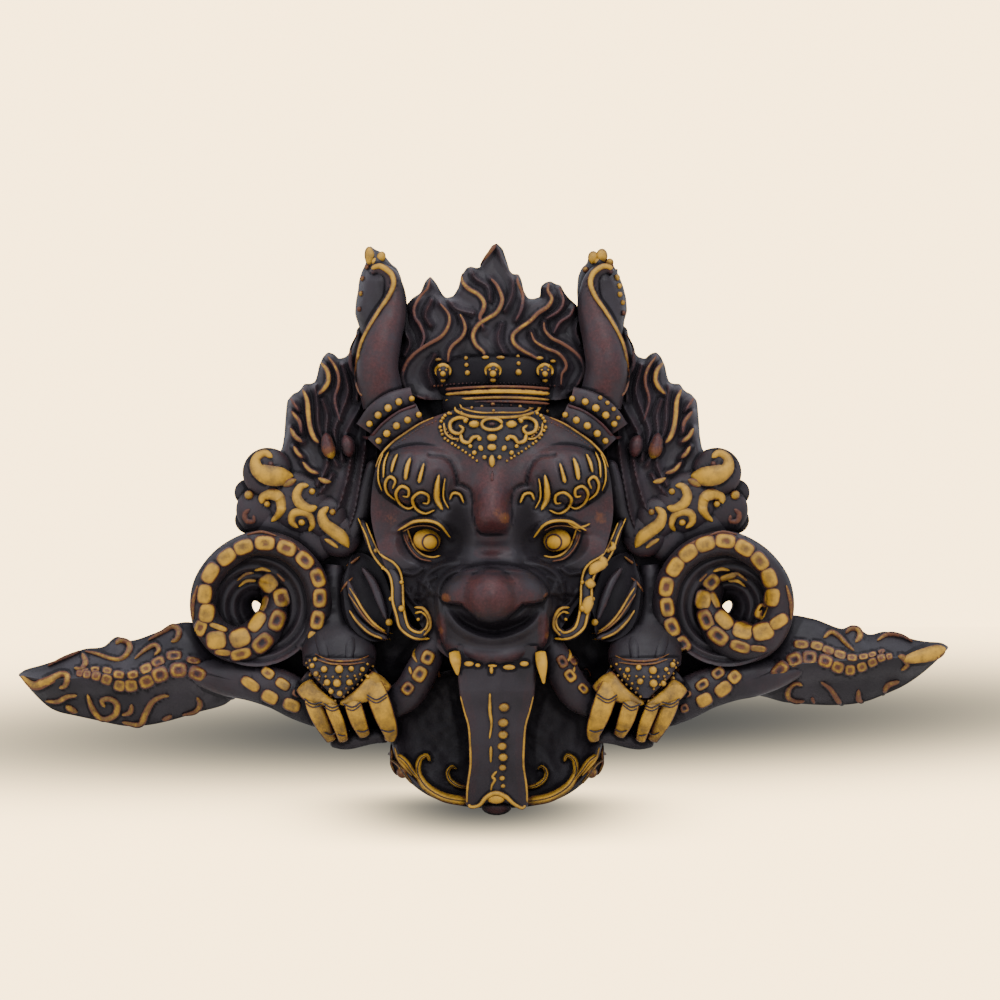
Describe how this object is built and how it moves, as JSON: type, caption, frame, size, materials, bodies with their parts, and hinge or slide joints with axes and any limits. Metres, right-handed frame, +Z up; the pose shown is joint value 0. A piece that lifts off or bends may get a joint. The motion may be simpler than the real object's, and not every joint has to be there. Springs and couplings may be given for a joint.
{
  "type": "chhepu mask",
  "caption": "Cast wall mask of a horned guardian head with hair of flames and a crown, its hands holding coiled serpents and its tongue hanging over a bowl-shaped lower jaw.",
  "frame": {"origin": "on the flat back, on the middle line of the head, just above the hollow", "axes": "+X to the right as seen from the front, +Z up, the front faces -Y and the flat back +Y"},
  "size_m": [0.3742, 0.086, 0.2301],
  "materials": {
    "painted_resin": "cast resin, antiqued near-black over dark red-brown, rubbed back on the smooth swells, with ochre gold brushed on the ridges, scales, beads and fingers; low satin sheen"
  },
  "bodies": {
    "root": {"mask": "painted_resin"}
  },
  "joints": []
}
